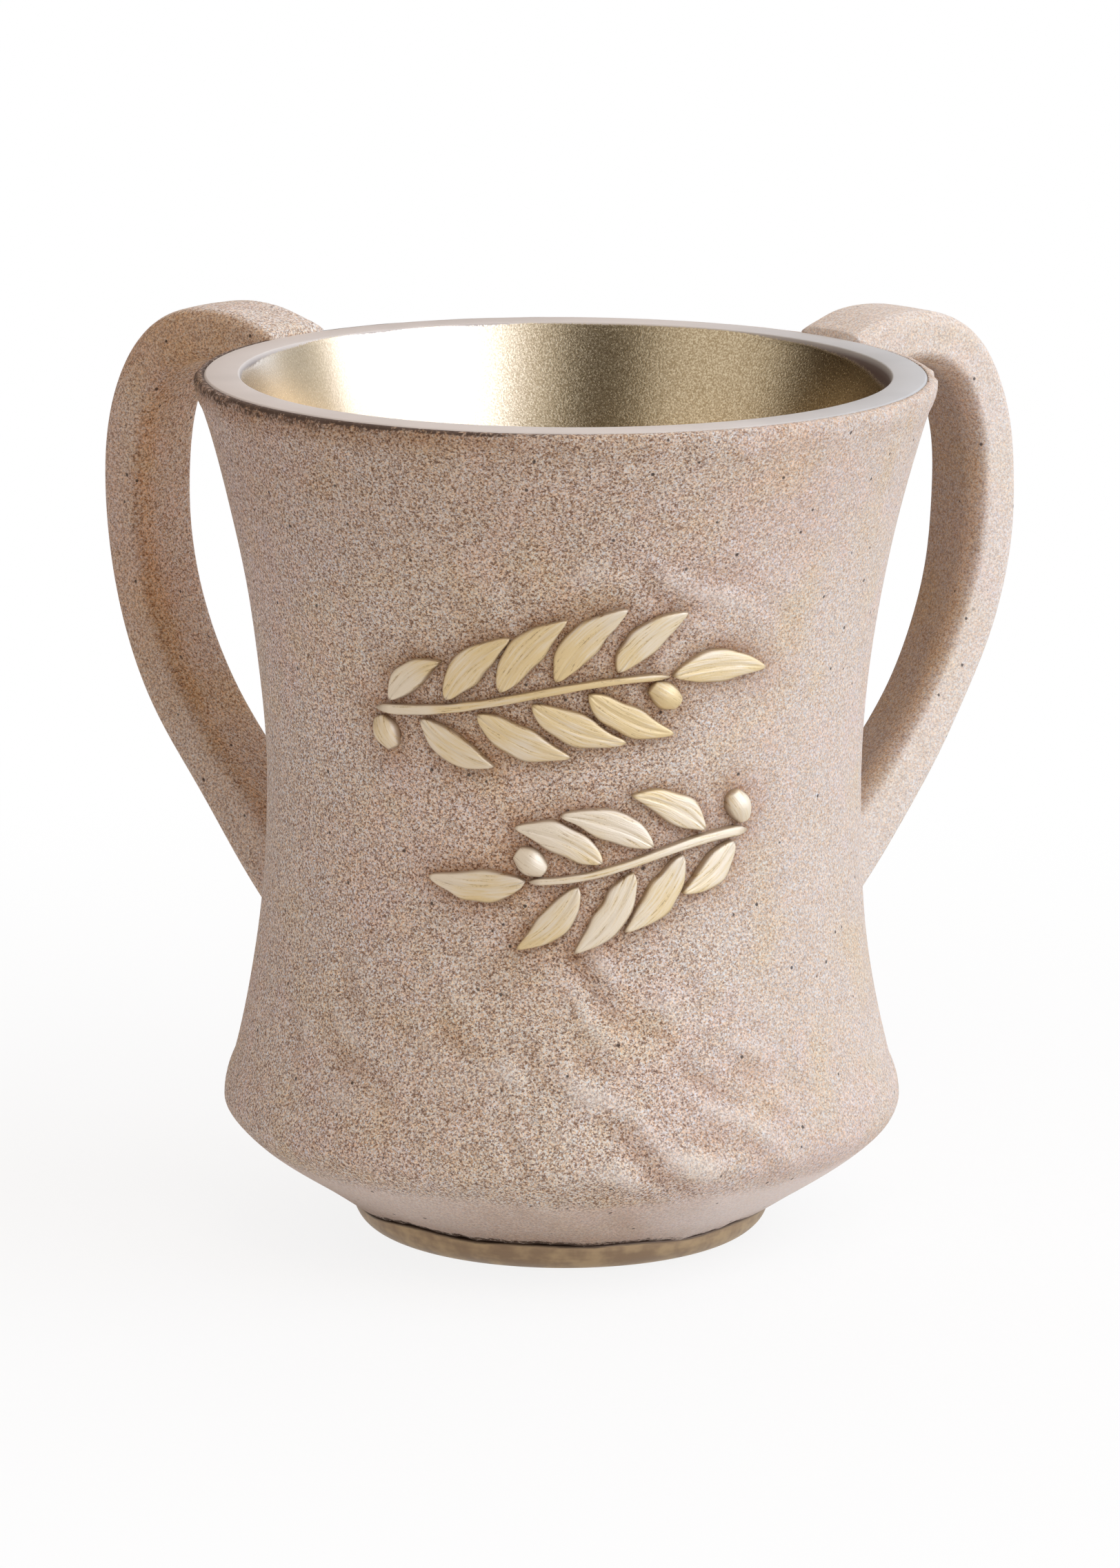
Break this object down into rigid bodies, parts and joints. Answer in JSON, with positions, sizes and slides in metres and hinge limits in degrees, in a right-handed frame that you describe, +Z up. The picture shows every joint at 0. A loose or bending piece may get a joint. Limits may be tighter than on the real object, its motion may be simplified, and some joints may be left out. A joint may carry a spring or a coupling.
{
  "type": "two-handled ritual hand washing cup",
  "caption": "Waisted stone-effect cup with two swept-back strap handles, gold inside, flat rim, raised sprigs on the front and a foot ring.",
  "frame": {"origin": "on the cup's axis, in the plane that it stands on", "axes": "+Z up the cup's axis, -Y towards the front with the relief, +X to the right of the front"},
  "size_m": [0.148, 0.1222, 0.1399],
  "materials": {
    "stone": "matt speckled stone-effect resin with a brown patina",
    "handle": "matt speckled stone-effect resin, browner along its edges",
    "liner": "metallic gold paint inside, smooth matt grey on the rim",
    "foot": "satin gold paint",
    "pad": "matt",
    "relief": "pale gold paint brushed over the stone colour"
  },
  "bodies": {
    "root": {"cup_shell": "stone", "cup_liner": "liner", "foot_ring": "foot", "base_pad": "pad", "handle_left": "handle", "handle_right": "handle", "upper_sprig_stem": "relief", "upper_sprig_olive_1": "relief", "upper_sprig_leaf_1": "relief", "upper_sprig_leaf_2": "relief", "upper_sprig_leaf_3": "relief", "upper_sprig_leaf_4": "relief", "upper_sprig_leaf_5": "relief", "upper_sprig_leaf_6": "relief", "upper_sprig_leaf_7": "relief", "upper_sprig_leaf_8": "relief", "upper_sprig_leaf_9": "relief", "upper_sprig_olive_2": "relief", "upper_sprig_tip_leaf": "relief", "lower_sprig_stem": "relief", "lower_sprig_olive_1": "relief", "lower_sprig_leaf_1": "relief", "lower_sprig_leaf_2": "relief", "lower_sprig_leaf_3": "relief", "lower_sprig_leaf_4": "relief", "lower_sprig_leaf_5": "relief", "lower_sprig_leaf_6": "relief", "lower_sprig_leaf_7": "relief", "lower_sprig_olive_2": "relief", "lower_sprig_tip_leaf": "relief"}
  },
  "joints": []
}
